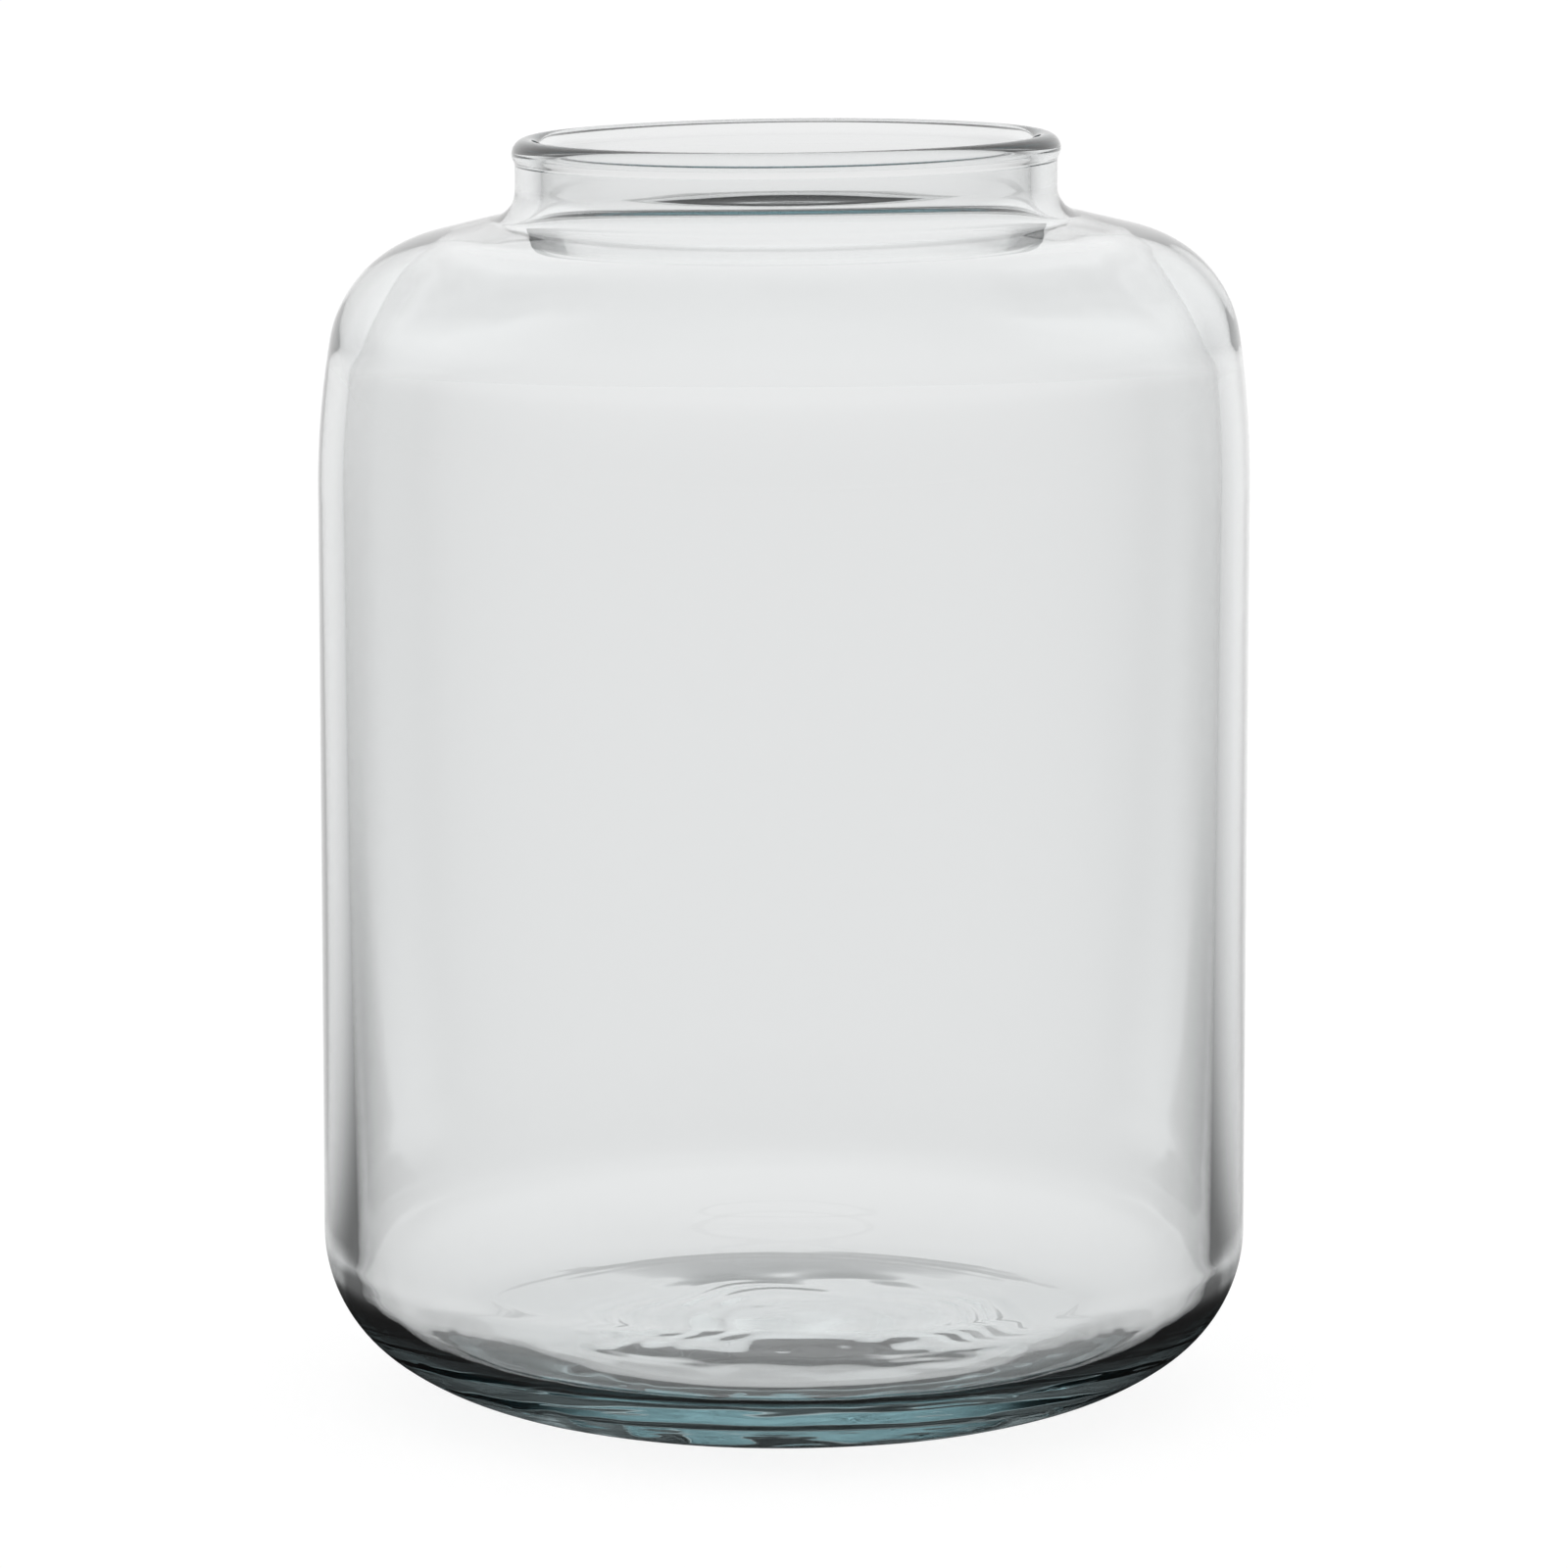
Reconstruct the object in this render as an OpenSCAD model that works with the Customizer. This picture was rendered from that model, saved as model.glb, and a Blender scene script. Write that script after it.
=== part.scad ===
// Blown glass cylinder vase: one vessel of clear glass, turned about +Z.
// Millimetres. The origin is the middle of the foot, in the plane that the vase stands on.

/* [Body] */
// Outside diameter of the body
body_d = 150; // [136:1:220]
// Height from the foot to the top of the lip
height = 205; // [150:1:320]
// Wall of the neck, the shoulder and the top of the body
wall_top = 4.3; // [2.5:0.1:7]
// Wall of the body where it meets the heel
wall_low = 5.2; // [3:0.1:9]

/* [Heel and foot] */
// Radius of the outside of the heel on its body side
heel_side_r = 24; // [14:1:38]
// Radius of the outside of the heel on its foot side
heel_foot_r = 41; // [39:1:54]
// Angle that the body side of the heel turns through
heel_turn = 54; // [30:1:70]
// Radius of the inside of the heel on its body side
inner_heel_side_r = 15; // [10:1:28]
// Radius of the inside of the heel on its floor side
inner_heel_floor_r = 15; // [10:1:44]
// Angle that the body side of the inner heel turns through
inner_heel_turn = 45; // [30:1:70]
// Height of the edge of the floor above the foot
floor_h = 10; // [8:0.5:20]
// Rise of the floor from its edge to its middle
floor_crown = 2.4; // [0.5:0.1:4]
// Width of the flat ring that the vase stands on
foot_ring_w = 2; // [1:0.5:10]
// Rounding of the inner edge of that ring
foot_edge_r = 12; // [6:1:24]
// Height of the hollow under the vase at its middle
punt_h = 0.6; // [0.4:0.1:4]

/* [Shoulder] */
// Radius on which the body starts to lean inwards
lean_r = 160; // [90:1:240]
// Angle that the lean turns through
lean_turn = 9; // [4:1:14]
// Radius of the shoulder itself
shoulder_r = 20.5; // [12:0.5:26]
// Radius of the inside of the shoulder, where the glass gathers
inner_shoulder_r = 22.5; // [16:0.5:30]
// Slope of the top of the shoulder, up towards the neck
shoulder_slope = 14; // [6:1:24]

/* [Neck and lip] */
// Outside diameter of the neck
neck_d = 87; // [60:1:98]
// Height of the neck, from the shoulder's line to the top of the lip
neck_h = 12; // [10:0.5:40]
// Radius of the corner between shoulder and neck
neck_fillet_r = 4.6; // [2:0.1:6]
// Radius of the same corner on the inside
inner_neck_fillet_r = 9.6; // [6:0.1:12]
// How far the lip stands out from the neck
lip_proud = 0.5; // [0.2:0.1:2]
// Radius of the corner under the lip
lip_fillet_r = 1.6; // [0.8:0.1:2]

/* [Hidden] */

glass = [0.86, 0.91, 0.90, 0.45];
facet_deg = 3;        // the outline's arcs are drawn in steps of this angle at most
round_fn = 180;       // sides of the turned form in the preview

body_r = body_d / 2;
neck_r = neck_d / 2;
bore_r = neck_r - wall_top;
wall_low_r = body_r - wall_low;

// A point at distance r from centre c, at angle a from the radial direction.
function polar(c, r, a) = c + r * [cos(a), sin(a)];

// The points of an arc from angle a0 to angle a1.
function arc(c, r, a0, a1) =
    let (n = ceil(abs(a1 - a0) / facet_deg))
    [for (i = [0 : n]) polar(c, r, a0 + (a1 - a0) * i / n)];

// Centres of the two arcs of a rounded corner between a level line at height z and
// an upright wall at radius r: side_r next to the wall, level_r next to the level line.
function corner_side_c(r, z, side_r, level_r, turn) =
    [r - side_r, z + level_r - (level_r - side_r) * sin(turn)];
function corner_level_c(r, z, side_r, level_r, turn) =
    [r - side_r - (level_r - side_r) * cos(turn), z + level_r];

// ---- Outside, from the middle of the underside to the lip ----

heel_side_c = corner_side_c(body_r, 0, heel_side_r, heel_foot_r, heel_turn);
heel_foot_c = corner_level_c(body_r, 0, heel_side_r, heel_foot_r, heel_turn);
punt_r = heel_foot_c.x - foot_ring_w;
// Radius of the hollow's sphere and its slope at the rim, where the edge's arc takes over.
hollow_r = (punt_r * punt_r + punt_h * punt_h) / (2 * punt_h) - foot_edge_r;
punt_fall = asin(punt_r / (hollow_r + foot_edge_r));

// The hollow under the vase, with a soft edge where it meets the ring of the foot.
function underside() = concat(
    arc([0, punt_h - hollow_r], hollow_r, 90, 90 - punt_fall),
    arc([punt_r, foot_edge_r], foot_edge_r, 270 - punt_fall, 270));

function heel() = concat(
    arc(heel_foot_c, heel_foot_r, -90, -heel_turn),
    arc(heel_side_c, heel_side_r, -heel_turn, 0));

// The shoulder's line meets the neck's line at this height.
shoulder_z = height - neck_h;
shoulder_end = 90 - shoulder_slope;
shoulder_run = body_r - lean_r * (1 - cos(lean_turn))
    - shoulder_r * (cos(lean_turn) - cos(shoulder_end)) - neck_r;
lean_z = shoulder_z - shoulder_run * tan(shoulder_slope)
    - shoulder_r * (sin(shoulder_end) - sin(lean_turn)) - lean_r * sin(lean_turn);
lean_c = [body_r - lean_r, lean_z];

// Where the shoulder's line meets the neck's line, both moved into the glass by depth t.
function shoulder_corner(t) =
    [neck_r - t, shoulder_z + t * (tan(shoulder_slope) - 1 / cos(shoulder_slope))];

// Centre of the arc of radius r that runs from the lean into the shoulder's line, at depth t.
function bend_c(t, r) =
    let (along = [cos(shoulder_slope), -sin(shoulder_slope)],
         level = [sin(shoulder_slope), cos(shoulder_slope)],
         from_lean = shoulder_corner(t) - r * level - lean_c,
         back = from_lean * along,
         span = lean_r - t - r)
    lean_c + from_lean + along * (sqrt(back * back - from_lean * from_lean + span * span) - back);

// The lean, the shoulder of radius r and the corner at the neck, at depth t in the glass.
// The corner's arc takes no more of the shoulder's line than the shoulder leaves it.
function shoulder(t, r, fillet_r) =
    let (c = bend_c(t, r),
         lean_end = atan2(c.y - lean_c.y, c.x - lean_c.x),
         line_end = c + r * [sin(shoulder_slope), cos(shoulder_slope)],
         fit_r = min(fillet_r, norm(line_end - shoulder_corner(t)) / tan(shoulder_end / 2)),
         rise = fit_r * (1 / cos(shoulder_slope) - tan(shoulder_slope)))
    concat(
        arc(lean_c, lean_r - t, 0, lean_end),
        arc(c, r, lean_end, shoulder_end),
        arc(shoulder_corner(t) + [fit_r, rise], fit_r, 270 - shoulder_slope, 180));

lip_r = (wall_top + lip_proud) / 2;
lip_c = [bore_r + lip_r, height - lip_r];
lip_fillet_c = [neck_r + lip_fillet_r, lip_c.y - sqrt(pow(lip_r + lip_fillet_r, 2)
    - pow(neck_r + lip_fillet_r - lip_c.x, 2))];

// The fire-polished bead round the mouth, flush with the bore and proud of the neck.
function lip() =
    let (meet = atan2(lip_c.y - lip_fillet_c.y, lip_c.x - lip_fillet_c.x))
    concat(
        arc(lip_fillet_c, lip_fillet_r, 180, meet),
        arc(lip_c, lip_r, meet - 180, 180));

// ---- Inside, from the mouth down to the middle of the floor ----

inner_side_c = corner_side_c(wall_low_r, floor_h, inner_heel_side_r, inner_heel_floor_r,
    inner_heel_turn);
inner_floor_c = corner_level_c(wall_low_r, floor_h, inner_heel_side_r, inner_heel_floor_r,
    inner_heel_turn);
floor_r = inner_floor_c.x;

function inner_heel() = concat(
    arc(inner_side_c, inner_heel_side_r, 0, -inner_heel_turn),
    arc(inner_floor_c, inner_heel_floor_r, -inner_heel_turn, -90));

// The floor is a crown whose middle is level and whose edge runs level into the heel.
function crown() =
    let (steps = 16)
    [for (i = [1 : steps])
        let (x = floor_r * (1 - i / steps))
        [x, floor_h + floor_crown * (1 + cos(180 * x / floor_r)) / 2]];

function reverse(list) = [for (i = [len(list) - 1 : -1 : 0]) list[i]];

// The whole section of the glass on one side of the axis.
function section() = concat(
    underside(), heel(), shoulder(0, shoulder_r, neck_fillet_r), lip(),
    reverse(shoulder(wall_top, inner_shoulder_r, inner_neck_fillet_r)), inner_heel(), crown());

module glass_vase() {
    color(glass) rotate_extrude($fn = round_fn) polygon(section());
}

glass_vase();
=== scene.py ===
# %% [markdown]
# A blown glass vase, lit as clear glass is lit in a studio.
# The vase is one piece of glass, so nearly all of its look comes from three things:
# the true section of the glass, the small unevenness that blowing leaves, and what the glass can see.
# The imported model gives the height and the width. Everything here is in metres, in its frame.

# %% Load the frame
import math

import bmesh
import bpy
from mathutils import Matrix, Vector, noise


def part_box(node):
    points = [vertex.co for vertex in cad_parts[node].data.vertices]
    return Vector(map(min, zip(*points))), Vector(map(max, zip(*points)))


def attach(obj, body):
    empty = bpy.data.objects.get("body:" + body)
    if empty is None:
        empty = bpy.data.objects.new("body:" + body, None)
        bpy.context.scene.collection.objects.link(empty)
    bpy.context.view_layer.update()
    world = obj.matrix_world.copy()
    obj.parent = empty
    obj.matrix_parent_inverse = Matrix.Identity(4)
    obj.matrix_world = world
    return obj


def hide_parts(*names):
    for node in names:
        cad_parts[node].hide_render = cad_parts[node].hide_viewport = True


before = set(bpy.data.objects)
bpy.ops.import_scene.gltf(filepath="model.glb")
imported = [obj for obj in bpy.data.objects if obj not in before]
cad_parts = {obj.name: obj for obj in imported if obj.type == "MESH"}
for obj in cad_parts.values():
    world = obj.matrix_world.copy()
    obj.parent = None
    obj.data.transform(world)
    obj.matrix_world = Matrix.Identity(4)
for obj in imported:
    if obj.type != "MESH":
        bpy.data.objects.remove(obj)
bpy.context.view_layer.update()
NODE = "glass_vase"
MM = 0.001
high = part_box(NODE)[1]
HEIGHT = high.z
BODY_R = high.x
print("vase", round(2 * BODY_R / MM, 1), "mm across and", round(HEIGHT / MM, 1), "mm high")

# %% [markdown]
# ## The section
# A turned form is known by its section: the line that starts under the middle of the foot, runs out and
# up the outside, over the lip, and down the inside to the middle of the floor.
# Hot glass pulls itself into arcs that run smoothly into each other, so the section is a chain of arcs
# and the straight lines between them. The solid model has the same chain. It is drawn again here,
# because a glass surface needs far finer steps than a solid does, and once it is whole a later cell
# measures that the two agree.

# %% Arcs for the section
STEP = 1.5 * MM
STEP_DEG = 3


def polar(centre, r, deg):
    """The point at distance r from the centre, at that angle from the radial direction."""
    a = math.radians(deg)
    return Vector((centre[0] + r * math.cos(a), centre[1] + r * math.sin(a)))


def arc(centre, r, start, end):
    """Points along an arc, close enough together for smooth shading."""
    turn = abs(end - start)
    steps = math.ceil(max(turn / STEP_DEG, math.radians(turn) * r / STEP))
    return [polar(centre, r, start + (end - start) * i / steps) for i in range(steps + 1)]


def sin(deg):
    return math.sin(math.radians(deg))


def cos(deg):
    return math.cos(math.radians(deg))


def tan(deg):
    return math.tan(math.radians(deg))


# %% [markdown]
# The vase stands on a narrow flat ring, with a shallow hollow inside it that keeps the middle off the
# table. From the ring the heel runs up to the body like the side of a bowl. One arc would make a plain
# rounded edge. Two arcs, a wide one at the foot and a tighter one at the body, give the fuller bowl of
# the real heel, and the corner function works out where their centres must be for them to meet smoothly.

# %% The foot and the heel
HEEL_SIDE_R = 24 * MM
HEEL_FOOT_R = 41 * MM
HEEL_TURN = 54
FOOT_RING = 2 * MM
FOOT_EDGE_R = 12 * MM
PUNT_H = 0.6 * MM


def corner(r, z, side_r, level_r, turn):
    """Centres of the two arcs that join an upright wall at radius r to a level line at height z."""
    side = (r - side_r, z + level_r - (level_r - side_r) * sin(turn))
    level = (r - side_r - (level_r - side_r) * cos(turn), z + level_r)
    return side, level


heel_side_c, heel_foot_c = corner(BODY_R, 0, HEEL_SIDE_R, HEEL_FOOT_R, HEEL_TURN)
heel = arc(heel_foot_c, HEEL_FOOT_R, -90, -HEEL_TURN) + arc(heel_side_c, HEEL_SIDE_R, -HEEL_TURN, 0)

punt_r = heel_foot_c[0] - FOOT_RING
hollow_r = (punt_r ** 2 + PUNT_H ** 2) / (2 * PUNT_H) - FOOT_EDGE_R
fall = math.degrees(math.asin(punt_r / (hollow_r + FOOT_EDGE_R)))
underside = arc((0, PUNT_H - hollow_r), hollow_r, 90, 90 - fall)
underside += arc((punt_r, FOOT_EDGE_R), FOOT_EDGE_R, 270 - fall, 270)
print("foot ring from", round(punt_r / MM, 1), "to", round(heel_foot_c[0] / MM, 1), "mm from the axis")

# %% [markdown]
# Above the straight body the glass first leans in on a very wide arc, then bends over the shoulder,
# runs straight up to the neck and turns into it round a small corner. The same shape is needed
# twice, outside and inside, at two depths in the glass. So it is one function of the depth and of
# the two radii, because glass gathers in a bend and its inner radii aren't the outer ones.

# %% The shoulder
WALL_TOP = 4.3 * MM
LEAN_R = 160 * MM
LEAN_TURN = 9
SHOULDER_R = 20.5 * MM
SLOPE = 14
NECK_R = 43.5 * MM
NECK_H = 12 * MM
NECK_FILLET = 4.6 * MM

shoulder_z = HEIGHT - NECK_H
slope_end = 90 - SLOPE
run = BODY_R - LEAN_R * (1 - cos(LEAN_TURN)) - SHOULDER_R * (cos(LEAN_TURN) - cos(slope_end)) - NECK_R
lean_z = shoulder_z - run * tan(SLOPE) - SHOULDER_R * (sin(slope_end) - sin(LEAN_TURN))
lean_c = (BODY_R - LEAN_R, lean_z - LEAN_R * sin(LEAN_TURN))


def shoulder(depth, bend_r, fillet):
    """The lean, the shoulder and the corner at the neck, at a depth inside the outer surface."""
    corner_p = Vector((NECK_R - depth, shoulder_z + depth * (tan(SLOPE) - 1 / cos(SLOPE))))
    along = Vector((cos(SLOPE), -sin(SLOPE)))
    start = corner_p - bend_r * Vector((sin(SLOPE), cos(SLOPE))) - Vector(lean_c)
    half = start.dot(along)
    span = LEAN_R - depth - bend_r
    reach = math.sqrt(half ** 2 - start.length_squared + span ** 2) - half
    bend_c = Vector(lean_c) + start + along * reach
    lean_end = math.degrees(math.atan2(bend_c.y - lean_c[1], bend_c.x - lean_c[0]))
    fillet_c = corner_p + Vector((fillet, fillet * (1 / cos(SLOPE) - tan(SLOPE))))
    return (arc(lean_c, LEAN_R - depth, 0, lean_end)
            + arc(bend_c, bend_r, lean_end, slope_end)
            + arc(fillet_c, fillet, 270 - SLOPE, 180))


print("the lean starts", round(lean_c[1] / MM, 1), "mm up")

# %% [markdown]
# The lip is melted back in the flame until it draws itself into a bead as thick as the neck's wall and
# a little more. Its section is an arc over the top, from the bore to a small corner under the outside.

# %% The lip
LIP_PROUD = 0.5 * MM
LIP_FILLET = 1.6 * MM

bore_r = NECK_R - WALL_TOP
lip_r = (WALL_TOP + LIP_PROUD) / 2
lip_c = (bore_r + lip_r, HEIGHT - lip_r)
reach = NECK_R + LIP_FILLET - lip_c[0]
lip_fillet_c = (NECK_R + LIP_FILLET, lip_c[1] - math.sqrt((lip_r + LIP_FILLET) ** 2 - reach ** 2))
meet = math.degrees(math.atan2(lip_c[1] - lip_fillet_c[1], lip_c[0] - lip_fillet_c[0]))
lip = arc(lip_fillet_c, LIP_FILLET, 180, meet) + arc(lip_c, lip_r, meet - 180, 180)
print("bead of", round(2 * lip_r / MM, 1), "mm round a mouth of", round(2 * bore_r / MM, 1), "mm")

# %% [markdown]
# The inside isn't the outside made smaller. Glass gathers at the bottom, so the inner heel sits higher and
# turns tighter than the outer one, and the floor is thick and a little crowned.

# %% The inside
WALL_LOW = 5.2 * MM
INNER_SHOULDER_R = 22.5 * MM
INNER_NECK_FILLET = 9.6 * MM
INNER_SIDE_R = 15 * MM
INNER_FLOOR_R = 15 * MM
INNER_TURN = 45
FLOOR_H = 10 * MM
CROWN = 2.4 * MM
FLOOR_STEPS = 60

inner_side_c, inner_floor_c = corner(BODY_R - WALL_LOW, FLOOR_H, INNER_SIDE_R, INNER_FLOOR_R,
                                     INNER_TURN)
floor_r = inner_floor_c[0]
inner_heel = arc(inner_side_c, INNER_SIDE_R, 0, -INNER_TURN)
inner_heel += arc(inner_floor_c, INNER_FLOOR_R, -INNER_TURN, -90)
crown = []
for i in range(1, FLOOR_STEPS + 1):
    share = 1 - i / FLOOR_STEPS
    crown.append(Vector((floor_r * share, FLOOR_H + CROWN * (1 + cos(180 * share)) / 2)))


# %% [markdown]
# The straight stretches between the arcs have no points of their own. They are cut into steps as short
# as the arcs', because the waves further on can only bend the glass where there are points.

# %% The whole section
DOUBLED = 0.01 * MM


def filled(points):
    """The same line without doubled points, and with long straight stretches cut into short steps."""
    out = [points[0]]
    for p in points[1:]:
        gap = (p - out[-1]).length
        if gap < DOUBLED:
            continue
        start = out[-1]
        steps = math.ceil(gap / STEP)
        out += [start.lerp(p, i / steps) for i in range(1, steps + 1)]
    return out


outer = filled(underside + heel + shoulder(0, SHOULDER_R, NECK_FILLET) + lip)
inner_shoulder = shoulder(WALL_TOP, INNER_SHOULDER_R, INNER_NECK_FILLET)[::-1]
inner = filled([outer[-1]] + inner_shoulder + inner_heel + crown)[1:]
section = outer + inner
print(len(section), "rings in the section:", len(outer), "outside and", len(inner), "inside")

# %% [markdown]
# The drawn section is only right if it lies on the solid's skin. The distance from each vertex of the
# solid to the nearest stretch of the section says so in one number.

# %% Measure the section against the solid


def distance(p, line):
    """The distance from a point to a chain of points."""
    best = 1.0
    for a, b in zip(line, line[1:]):
        along = b - a
        t = min(1, max(0, (p - a).dot(along) / along.length_squared))
        best = min(best, (p - a - along * t).length)
    return best


solid = set()
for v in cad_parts[NODE].data.vertices:
    solid.add((round(Vector(v.co[:2]).length, 4), round(v.co.z, 4)))
worst = max(distance(Vector(p), section) for p in solid)
print("the solid's skin and the section differ by", round(worst / MM, 2), "mm at most")

# %% [markdown]
# ## What blowing leaves
# A blown wall is never quite even. The outside was turned against a wet wooden mould and is nearly
# true. The inside was touched by nothing but breath: it waves a little along the wall, and the floor
# keeps the slow swirl that the glass had when it was gathered on the iron.
# Waves this shallow could be a bump in the material. But glass bends light by its surface and its
# thickness, so they are cut into the mesh. The outer skin only ever moves into the glass.

# %% Unevenness of the wall
WAVE = 0.10 * MM
WAVE_WIDE = 30 * MM
WAVE_TALL = 110 * MM
FINE_SHARE = 0.35
FINE_WIDE = 9 * MM
FINE_TALL = 160 * MM


def ease(lo, hi, x):
    """0 below lo, 1 above hi, and a smooth step between."""
    t = min(1, max(0, (x - lo) / (hi - lo)))
    return t * t * (3 - 2 * t)


def lumps(x, y, size, pattern, shift=0):
    """Smooth noise from -1 to 1 in lumps of that size: pattern picks one of many layers of it.

    A layer is a height in a block of noise, and the shift is a way to the side in it. Which layer and
    shift a wave takes has no meaning, as long as they differ from the others'.
    """
    return noise.noise(Vector((x / size + shift, y / size, pattern)))


def inner_wave(x, y, z):
    """How far the inside of the wall stands off its true place: long upright waves."""
    slow = lumps(x, y, WAVE_WIDE, z / WAVE_TALL)
    fine = lumps(x, y, FINE_WIDE, z / FINE_TALL, 7)
    return WAVE * (slow + FINE_SHARE * fine)


print("the inside of the wall waves by up to", round(WAVE * (1 + FINE_SHARE) / MM, 2), "mm")

# %% [markdown]
# The bottom shows more of how it was made. Where the soft glass ran down into the corner of the mould,
# it chilled in faint rings round the inner heel. A sine of the radius less the height draws them on
# both sides of the corner. An even pattern would look machined, so smooth noise bends the rings, fades
# them in and out and adds a grain.

# %% Rings in the heel
RING = 0.030 * MM
RING_PITCH = 3.2 * MM
RING_BEND = 6
BEND_WIDE = 50 * MM
PATCH_LEAST = 0.6
PATCH_WIDE = 30 * MM
PATCH_LONG = 10 * MM
GRAIN_WIDE = 5 * MM
GRAIN_LONG = 6 * MM


def heel_rings(x, y, along):
    """Shallow rings round the inner heel, with a fine grain: along is the radius less the height."""
    drift = lumps(x, y, BEND_WIDE, 4.4)
    patch = PATCH_LEAST + (1 - PATCH_LEAST) * lumps(x, y, PATCH_WIDE, along / PATCH_LONG)
    grain = lumps(x, y, GRAIN_WIDE, along / GRAIN_LONG)
    ring = math.sin(2 * math.pi * along / RING_PITCH + RING_BEND * drift)
    return RING * (patch * ring + grain)


print("rings every", round(RING_PITCH / MM, 1), "mm,", round(RING / MM, 3), "mm high")

# %% [markdown]
# The middle of the floor holds the swirl and the lumps of the gather. The iron turned while the glass
# cooled on it, so the ripples aren't closed rings but one spiral: the angle round the middle is added
# to the distance from it. The gather is never quite centred, and the swirl isn't either.

# %% The swirl of the floor
SWIRL = 0.10 * MM
SWIRL_PITCH = 6.5 * MM
SWIRL_BEND = 6
SWIRL_WIDE = 22 * MM
SWIRL_AT = (6 * MM, -4 * MM)
SWIRL_SHARE = 0.8
SWIRL_SHOWS = (-0.1, 0.45)
LUMP_WIDE = 11 * MM
LUMP_SHARE = 1.6
CALM_R = 8 * MM
SWIRL_OUT = (34 * MM, 46 * MM)


def floor_swirl(x, y):
    """Height of the ripples and lumps that the gather leaves in the floor."""
    x = x - SWIRL_AT[0]
    y = y - SWIRL_AT[1]
    r = math.hypot(x, y)
    drift = lumps(x, y, SWIRL_WIDE, 3.1)
    wave = math.sin(2 * math.pi * (r / SWIRL_PITCH) + math.atan2(y, x) + SWIRL_BEND * drift)
    patch = ease(*SWIRL_SHOWS, lumps(x, y, SWIRL_WIDE, 1.7, 5))
    height = SWIRL_SHARE * wave * patch + LUMP_SHARE * lumps(x, y, LUMP_WIDE, 9.2)
    return SWIRL * height * ease(0, CALM_R, r) * (1 - ease(*SWIRL_OUT, r))


print("the swirl's middle is", round(math.hypot(*SWIRL_AT) / MM, 1), "mm off the axis")

# %% [markdown]
# The foot is polished so that it stands flat, and polishing leaves soft dents inside the ring. They
# only go into the glass, so that the vase still stands on its ring.

# %% Dents under the foot
DENT = 0.07 * MM
DENT_WIDE = 14 * MM
DENT_MEAN = 0.6


def foot_wave(x, y):
    """Depth of the soft dents that polishing leaves in the underside."""
    return DENT * max(0, DENT_MEAN + lumps(x, y, DENT_WIDE, 6.6, 3))


middle = foot_wave(0, 0)
print("the dent in the middle of the foot is", round(middle / MM, 3), "mm deep")

# %% [markdown]
# The neck is the last part to be heated, on the end of the iron, and it sets a little out of true: the
# lip is a millimetre lower on one side. Only the top of the vase moves, and only down or sideways.

# %% The set of the neck
SET_FROM = 0.72
LIP_DROP = 1.0 * MM
NECK_SHIFT = 0.35 * MM


def settled(x, y, z):
    """The place of a point after the neck has sunk and shifted, as the last heat leaves it."""
    part = ease(SET_FROM * HEIGHT, HEIGHT, z)
    tilt = LIP_DROP * part * (1 - x / NECK_R) / 2
    return x + NECK_SHIFT * part, y, z - tilt


print("the lip is out of level by", round(LIP_DROP / MM, 1), "mm")

# %% [markdown]
# ## Where each wave acts
# The waves meet at the edges of the floor, the heel and the lip, and a step between two of them would
# show as a hard line in the glass. So each fades in and out over some millimetres. Near the axis the
# underside calms down, because all the rings of points come together there.

# %% Where each wave acts
FOOT_TOP = (1 * MM, 6 * MM)
FLOOR_FADE = (12 * MM, 18 * MM)
FLOOR_TOP = 40 * MM
HEEL_FADE = 8 * MM
HEEL_TOP = (24 * MM, 30 * MM)
LIP_RINGS = 40


def push_outside(p, x, y):
    """How far a point of the outer skin moves: only the underside does, into the glass."""
    return -foot_wave(x, y) * (1 - ease(*FOOT_TOP, p.y)) * ease(0, CALM_R, p.x)


def push_inside(p, x, y, past_lip):
    """How far a point of the inner skin moves: past_lip is its place in the rings after the lip."""
    on_floor = 1 - ease(floor_r - FLOOR_FADE[0], floor_r + FLOOR_FADE[1], p.x)
    if p.y > FLOOR_TOP:
        on_floor = 0
    on_wall = ease(0, LIP_RINGS, past_lip) * ease(FLOOR_H, FLOOR_TOP, p.y)
    on_heel = ease(floor_r - HEEL_FADE, floor_r, p.x) * (1 - ease(*HEEL_TOP, p.y))
    push = inner_wave(x, y, p.y) * on_wall + floor_swirl(x, y) * on_floor
    return push + heel_rings(x, y, p.x - p.y) * on_heel


print("the wall's waves are at full height", LIP_RINGS, "rings below the lip")

# %% [markdown]
# ## The glass
# The section is turned round the axis, ring by ring, and the first and last rings close on the axis.
# Each point is moved along the section's own normal by the waves above, and then settles with the neck.

# %% Turn the section
SEGMENTS = 288
ON_AXIS = 1e-7


def normals(line):
    """Unit normals of the section, to its right, which is out of the glass."""
    out = []
    last = len(line) - 1
    for i in range(len(line)):
        t = (line[min(i + 1, last)] - line[max(i - 1, 0)]).normalized()
        out.append(Vector((t.y, -t.x)))
    return out


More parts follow.
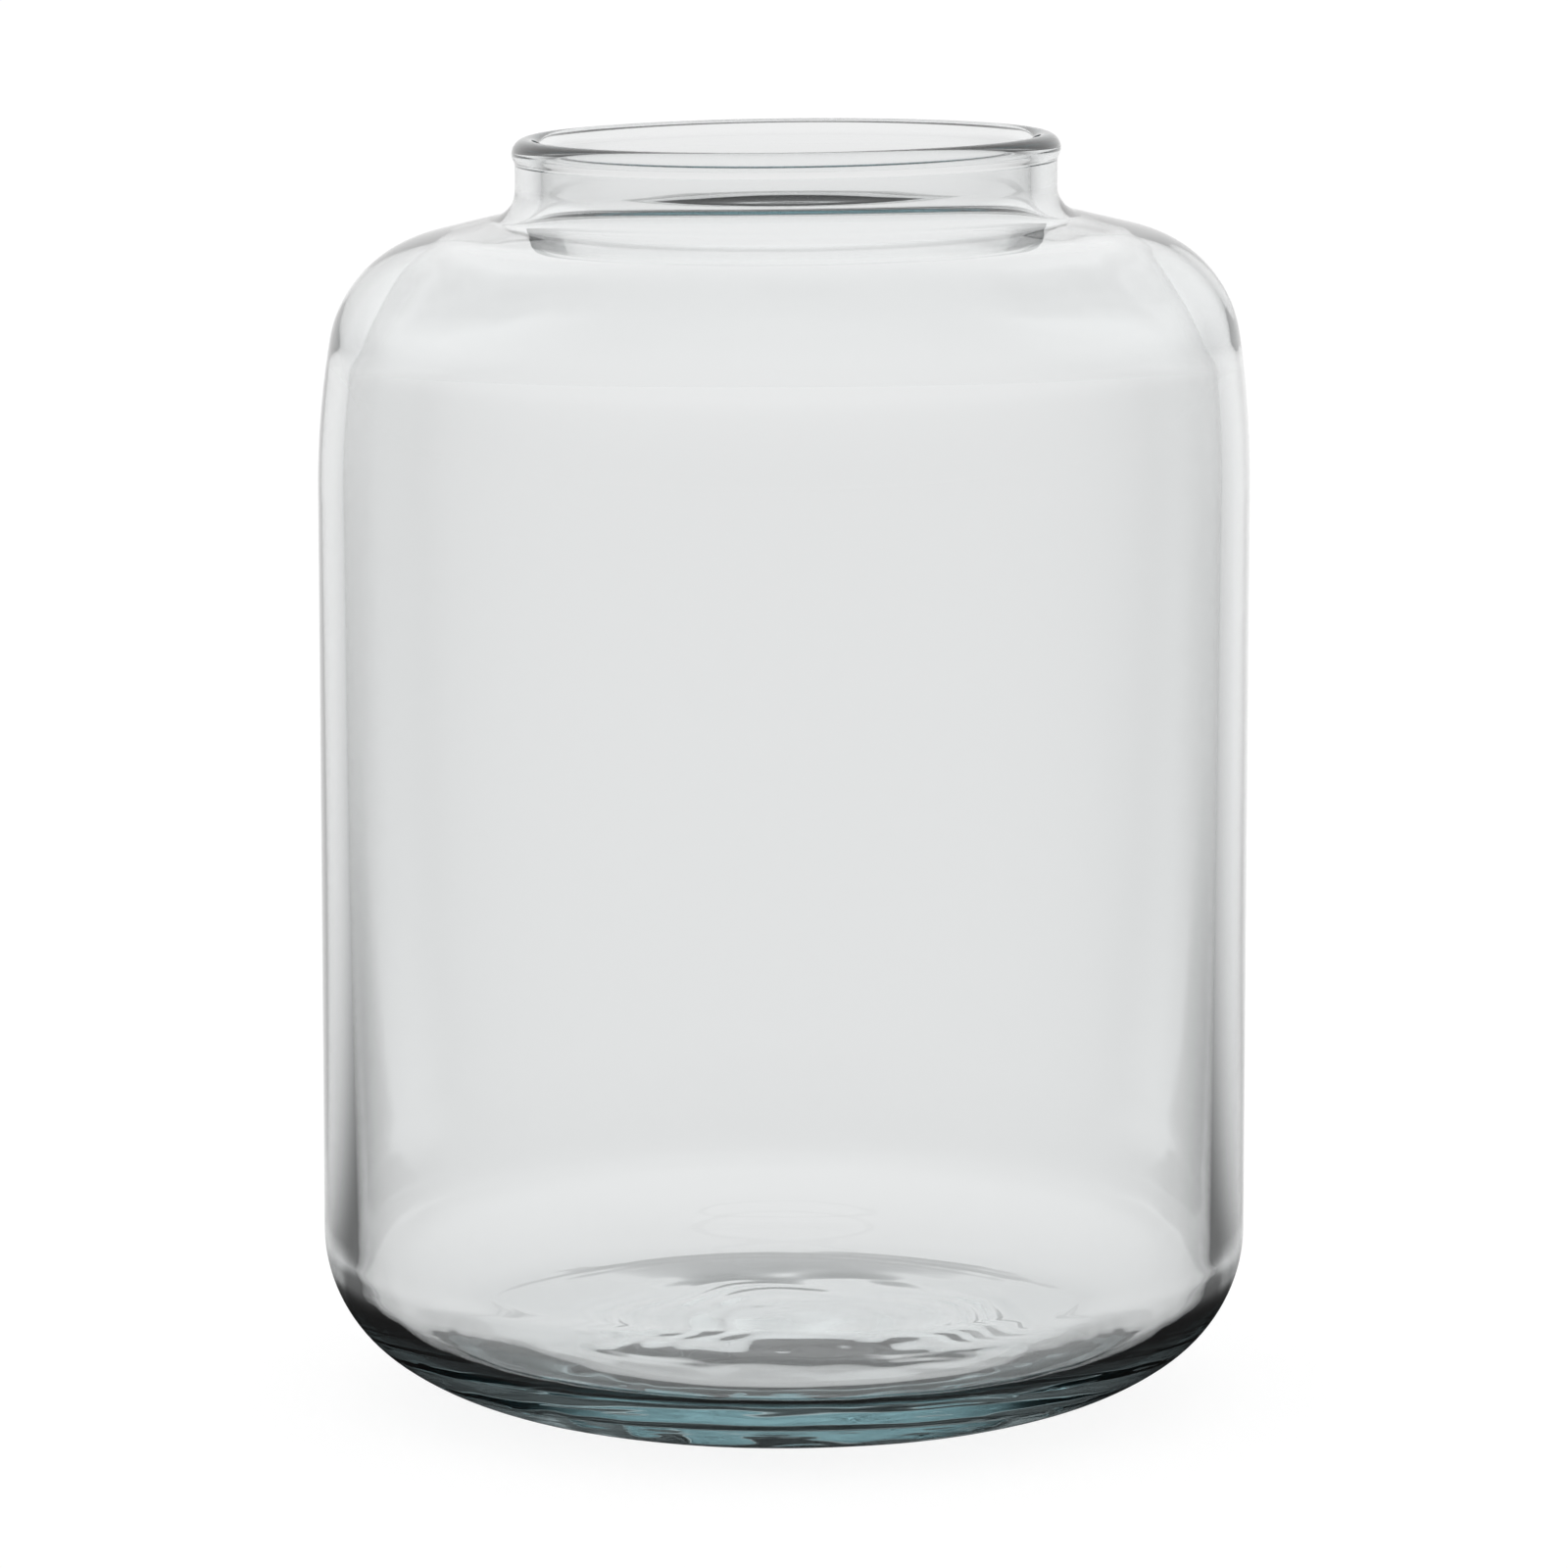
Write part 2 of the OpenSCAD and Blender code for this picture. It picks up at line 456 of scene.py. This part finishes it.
def turned(bm, line):
    """Rings of vertices round the axis, with the faces between them."""
    side = normals(line)
    rings = []
    for i, (p, n) in enumerate(zip(line, side)):
        if p.x < ON_AXIS:
            rings.append([bm.verts.new((0, 0, p.y))])
            continue
        ring = []
        for j in range(SEGMENTS):
            a = 2 * math.pi * j / SEGMENTS
            ca = math.cos(a)
            sa = math.sin(a)
            x = p.x * ca
            y = p.x * sa
            past_lip = i - len(outer)
            push = push_outside(p, x, y) if past_lip < 0 else push_inside(p, x, y, past_lip)
            r = p.x + n.x * push
            ring.append(bm.verts.new(settled(r * ca, r * sa, p.y + n.y * push)))
        rings.append(ring)
    for a, b in zip(rings, rings[1:]):
        for j in range(SEGMENTS):
            k = (j + 1) % SEGMENTS
            if len(a) == 1:
                bm.faces.new((a[0], b[k], b[j]))
            elif len(b) == 1:
                bm.faces.new((a[j], a[k], b[0]))
            else:
                bm.faces.new((a[j], a[k], b[k], b[j]))


print(len(section) * SEGMENTS, "points at most for the turned glass")

# %% [markdown]
# The turned rings become one closed mesh, smooth shaded all over: melted glass has no sharp edge.

# %% The vase
mesh = bpy.data.meshes.new("vase_glass")
bm = bmesh.new()
turned(bm, section)
bmesh.ops.recalc_face_normals(bm, faces=bm.faces)
for face in bm.faces:
    face.smooth = True
bm.to_mesh(mesh)
bm.free()
vase = bpy.data.objects.new("vase_glass", mesh)
bpy.context.scene.collection.objects.link(vase)
print(len(mesh.vertices), "vertices in the glass")

# %% [markdown]
# ## Shader maths
# A material is a tree of nodes, and a sum of two values is a node of its own. Written out, such trees
# are long and hard to read. One small class holds a socket instead and overloads the operators,
# so that an expression such as 1 - mask adds the Math nodes by itself.

# %% A socket with arithmetic


class Sock:
    """An output socket of a node, for use in sums and products with other sockets and plain numbers."""

    def __init__(self, socket):
        self.socket = socket
        self.tree = socket.id_data

    @staticmethod
    def node(tree, kind, settings=None, **inputs):
        """A node of that kind, with its settings made first and then its sockets filled."""
        made = tree.nodes.new(kind)
        for key, value in (settings or {}).items():
            setattr(made, key, value)
        for key, value in inputs.items():
            name = key.replace("_", " ")
            target = made.inputs[int(name[3:])] if name.startswith("in ") else made.inputs[name]
            if isinstance(value, Sock):
                tree.links.new(value.socket, target)
            else:
                target.default_value = value
        return made

    def math(self, operation, a, b):
        """The output of a Math node with that operation on a and b."""
        made = Sock.node(self.tree, "ShaderNodeMath", {"operation": operation}, in_0=a, in_1=b)
        return Sock(made.outputs[0])

    def __add__(self, other):
        return self.math("ADD", self, other)

    __radd__ = __add__

    def __mul__(self, other):
        return self.math("MULTIPLY", self, other)

    __rmul__ = __mul__

    def __sub__(self, other):
        return self.math("SUBTRACT", self, other)

    def __rsub__(self, other):
        return self.math("SUBTRACT", other, self)

    def __truediv__(self, other):
        return self.math("DIVIDE", self, other)

    def __rtruediv__(self, other):
        return self.math("DIVIDE", other, self)

    def __gt__(self, other):
        return self.math("GREATER_THAN", self, other)


# %% [markdown]
# ## The glass itself
# Soda-lime glass bends light with an index of 1.52 and takes a little of the red out of it: a few
# millimetres look clear, and the thick heel, seen along its length, looks blue-green.
# A tint on the surface would colour the thin wall as much as the thick heel, so the colour is in the
# volume: absorption, per metre of glass.

# %% Clear glass
GLASS_IOR = 1.52
TINT = (0.55, 0.80, 0.84, 1)
TINT_DENSITY = 6.0

glass = bpy.data.materials.new("clear_glass")
glass.use_nodes = True
tree = glass.node_tree
tree.nodes.clear()
skin = Sock.node(tree, "ShaderNodeBsdfPrincipled", Base_Color=(1, 1, 1, 1), Roughness=0.0, IOR=GLASS_IOR,
                 Transmission_Weight=1.0)
depth = Sock.node(tree, "ShaderNodeVolumeAbsorption", Color=TINT, Density=TINT_DENSITY)
Sock.node(tree, "ShaderNodeOutputMaterial", Surface=Sock(skin.outputs[0]), Volume=Sock(depth.outputs[0]))
mesh.materials.append(glass)

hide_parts(NODE)
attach(vase, "root")
left = math.exp(-(1 - TINT[0]) * TINT_DENSITY * 2 * WALL_TOP)
print("two walls let", round(100 * left), "per cent of the red through")

# %% [markdown]
# ## What the glass sees
# Clear glass has no colour to light. It shows its surroundings: straight through it the white sweep,
# and by reflection at its skins the room. A room that is white all round makes glass vanish. So a
# studio keeps the sweep white and the camera's side of the room dim, and each place where light is
# turned back inside the glass draws a dark line: the lip, the wall's edge and the heel.
# Dark cards round the vase would do it, but they would also darken the floor's light. Cycles knows
# how often a ray was turned on its way, so the world and the floor can be white to the eye and dim
# to reflections.

# %% How light came here


def ray_kinds(tree):
    """Masks for light seen through glass: straight on, turned back by a skin, and turned back twice.

    Depths are whole numbers, so over 0.5 means at least once. Light that falls on the floor is in none.
    """
    path = Sock.node(tree, "ShaderNodeLightPath")
    seen = 1 - (Sock(path.outputs["Diffuse Depth"]) > 0.5)
    turned_back = (Sock(path.outputs["Glossy Depth"]) > 0.5) * seen
    through = (Sock(path.outputs["Transmission Depth"]) > 0.5) * seen * (1 - turned_back)
    twice = (Sock(path.outputs["Glossy Depth"]) > 1.5) * seen
    return through, turned_back, twice


def rise(tree, value, lo, hi):
    """0 below lo, 1 above hi, with a smooth step between."""
    made = Sock.node(tree, "ShaderNodeMapRange", {"interpolation_type": "SMOOTHSTEP"}, Value=value,
                     From_Min=lo, From_Max=hi, To_Min=0.0, To_Max=1.0)
    return Sock(made.outputs[0])


print("light seen in the glass is of three kinds, and each has a level of its own")

# %% [markdown]
# The room is a level for each direction. Toward the back it is the bright sweep, from both sides round
# to the front it is dim, and overhead it is a bright ceiling, which lightens the sloping shoulder and
# leaves the upright wall below it darker. Light that was turned back twice has wandered far in the
# thick glass, and finds light only when it comes out well upwards.

# %% The room
SWEEP = 0.87
FRONT = 0.17
BACK = 0.97
BACK_FROM = 0.47
BACK_FULL = 0.90
CEILING = 1.0
CEILING_FROM = 0.0
CEILING_FULL = 0.35
DEEP = 0.06
DEEP_FROM = 0.22
DEEP_FULL = 0.85


def wall_level(tree, back):
    """Level of the room's walls: back is 1 straight behind the vase and -1 on the camera's side."""
    return FRONT + (BACK - FRONT) * rise(tree, back, BACK_FROM, BACK_FULL)


world = bpy.data.worlds.new("studio")
bpy.context.scene.world = world
world.use_nodes = True
tree = world.node_tree
tree.nodes.clear()
place = Sock.node(tree, "ShaderNodeTexCoord")
split = Sock.node(tree, "ShaderNodeSeparateXYZ", Vector=Sock(place.outputs["Generated"]))
up = Sock(split.outputs["Z"])
back = Sock(split.outputs["Y"])
through, turned_back, twice = ray_kinds(tree)
overhead = rise(tree, up, CEILING_FROM, CEILING_FULL)
room = wall_level(tree, back) * (1 - overhead) + CEILING * overhead
deep = DEEP + (SWEEP - DEEP) * rise(tree, up, DEEP_FROM, DEEP_FULL)
glassy = through + turned_back
level = (1 - glassy) + through * SWEEP + turned_back * (room * (1 - twice) + deep * twice)
background = Sock.node(tree, "ShaderNodeBackground", Color=(1, 1, 1, 1), Strength=level)
Sock.node(tree, "ShaderNodeOutputWorld", Surface=Sock(background.outputs[0]))
print(len(tree.nodes), "nodes in the world")

# %% [markdown]
# ## The floor
# The floor is a wide white disc, far wider than the view, so that it runs out to a white horizon.
# A backdrop behind it would need a seam, and a disc has none.

# %% The floor's disc
FLOOR_RADIUS = 12.0
FLOOR_SIDES = 96

bm = bmesh.new()
bmesh.ops.create_circle(bm, cap_ends=True, segments=FLOOR_SIDES, radius=FLOOR_RADIUS)
floor_mesh = bpy.data.meshes.new("floor")
bm.to_mesh(floor_mesh)
bm.free()
floor = bpy.data.objects.new("floor", floor_mesh)
bpy.context.scene.collection.objects.link(floor)
print("floor", 2 * FLOOR_RADIUS, "m across")

# %% [markdown]
# To a reflection the floor is painted as dim as the room's wall behind it. Close to the vase it has a
# painted shadow, darker still, in place of the shade where the vase hides the room. That painted shadow
# makes the dark wedges of the heel. Straight behind the vase the painted shadow reaches much farther out,
# which draws the grey streak at the back of its floor.

# %% Painted shade on the floor
# A painted shadow on the floor round the vase, with a longer one straight behind it. Only reflections in
# the glass see it.
PAINTED_SHADOW_LEAST = 0.08
PAINTED_SHADOW_FROM = 0.08
PAINTED_SHADOW_FULL = 0.17
PAINTED_STREAK_FULL = 0.70
PAINTED_STREAK_FROM = 0.93

white = bpy.data.materials.new("white_floor")
white.use_nodes = True
tree = white.node_tree
tree.nodes.clear()
through, turned_back, twice = ray_kinds(tree)
glassy = through + turned_back
place = Sock.node(tree, "ShaderNodeTexCoord")
spot = Sock(place.outputs["Object"])
away = Sock(Sock.node(tree, "ShaderNodeVectorMath", {"operation": "LENGTH"}, in_0=spot).outputs["Value"])
back = Sock(Sock.node(tree, "ShaderNodeSeparateXYZ", Vector=spot).outputs["Y"]) / away
painted_shadow_reach = PAINTED_SHADOW_FULL + (PAINTED_STREAK_FULL - PAINTED_SHADOW_FULL) * rise(tree, back, PAINTED_STREAK_FROM, 1.0)
# edge is painted shade: the nearer the floor is to the vase, the darker it is.
painted_shadow_near_vase = PAINTED_SHADOW_LEAST + (1 - PAINTED_SHADOW_LEAST) * rise(tree, away, PAINTED_SHADOW_FROM, painted_shadow_reach)
# dim is painted shade: the floor is darker to reflected light, and darker still to light turned back
# twice.
reflected_painted_shade = wall_level(tree, back) * painted_shadow_near_vase * (1 - (1 - DEEP) * twice)
keep = (1 - glassy) + through * SWEEP + turned_back * reflected_painted_shade
print("the dark round the vase ends", PAINTED_SHADOW_FULL, "m from the axis, and", PAINTED_STREAK_FULL, "m straight behind")

# %% [markdown]
# Part of the floor's white is its own light, which keeps it white far away, and the rest is the light that
# falls on it, which is what the vase's shadow takes away. Seen past the vase the shadow is faint, and
# through the glass it is stronger. Both parts together come to a little over white where no shadow falls.

# %% White floor
FLOOR_WHITE = 0.80
FLOOR_FULL = 1.04
FLOOR_SHADE = 0.25
UNDER_SHADE = 0.70

shade = FLOOR_SHADE * (1 - glassy) + UNDER_SHADE * glassy
own_level = keep * (FLOOR_FULL - shade * FLOOR_WHITE)
lit = Sock.node(tree, "ShaderNodeBsdfDiffuse", Color=(FLOOR_WHITE, FLOOR_WHITE, FLOOR_WHITE, 1))
unlit = Sock.node(tree, "ShaderNodeEmission", Color=(0, 0, 0, 1), Strength=0.0)
own = Sock.node(tree, "ShaderNodeEmission", Color=(1, 1, 1, 1), Strength=own_level)
shaded = Sock.node(tree, "ShaderNodeMixShader", Fac=keep * shade, in_1=Sock(unlit.outputs[0]),
                   in_2=Sock(lit.outputs[0]))
both = Sock.node(tree, "ShaderNodeAddShader", in_0=Sock(shaded.outputs[0]), in_1=Sock(own.outputs[0]))
Sock.node(tree, "ShaderNodeOutputMaterial", Surface=Sock(both.outputs[0]))
floor_mesh.materials.append(white)
print(len(tree.nodes), "nodes in the floor")

# %% [markdown]
# ## Camera
# A long lens from well back keeps the vase's sides upright and makes its mouth a narrow ellipse. From
# close by, the sides would run together downwards and the mouth would be a wide ellipse. The camera
# stands a little above the lip and looks slightly down.

# %% Camera
CAMERA_DISTANCE = 1.231
CAMERA_HEIGHT = 0.2858
CAMERA_PITCH = 8.61
LENS = 176.3
SENSOR = 36

camera_data = bpy.data.cameras.new("camera")
camera_data.sensor_width = SENSOR
camera_data.lens = LENS
camera_data.clip_start = 0.05
camera_data.clip_end = 100
camera = bpy.data.objects.new("camera", camera_data)
camera.location = (0, -CAMERA_DISTANCE, CAMERA_HEIGHT)
camera.rotation_euler = (math.radians(90 - CAMERA_PITCH), 0, 0)
bpy.context.scene.collection.objects.link(camera)
bpy.context.scene.camera = camera
print("the camera sees", round(2 * math.degrees(math.atan(SENSOR / 2 / LENS)), 1), "degrees")

# %% [markdown]
# Glass needs many bounces: light crosses four skins on its way through the vase, and in the heel and the
# lip it is turned back many times more. A ray that runs out of bounces is black, so too low a limit
# shows as black specks in the thick glass. The view transform is plain, so white stays white.

# %% Render settings
scene = bpy.context.scene
scene.view_settings.view_transform = "Standard"
scene.cycles.max_bounces = 48
scene.cycles.transmission_bounces = 48
scene.cycles.glossy_bounces = 40
print("up to", scene.cycles.max_bounces, "bounces")
